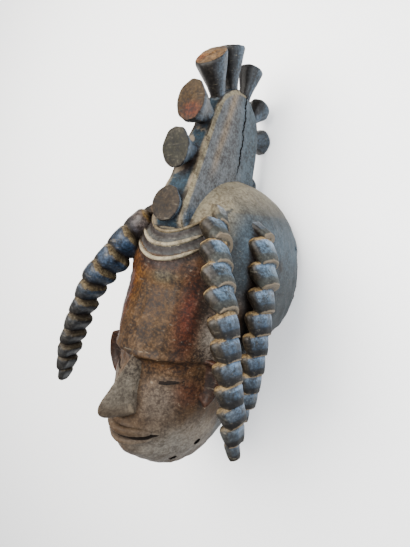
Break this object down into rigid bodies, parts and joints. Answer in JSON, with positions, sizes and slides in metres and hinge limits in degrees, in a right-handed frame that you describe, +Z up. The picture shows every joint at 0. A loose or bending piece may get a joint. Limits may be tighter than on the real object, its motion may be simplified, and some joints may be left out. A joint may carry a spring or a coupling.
{
  "type": "carved wooden helmet mask",
  "caption": "Carved wooden helmet mask: a hollow hood with a long-nosed face, raised headband ridges, hanging braids and an arched crest of flared knobs.",
  "frame": {"origin": "on the surface that the mask lies on, below the middle of its outline", "axes": "the mask lies on its back: +Z is up and out of the face, +Y runs towards the crest and +X is the mask's own left"},
  "size_m": [0.2586, 0.4994, 0.2631],
  "materials": {
    "carved_wood": "old hand-carved wood with a worn paint of blue-black, earth red and grey, matt, dusty and rubbed pale along its edges"
  },
  "bodies": {
    "root": {"carved_mask": "carved_wood"}
  },
  "joints": []
}
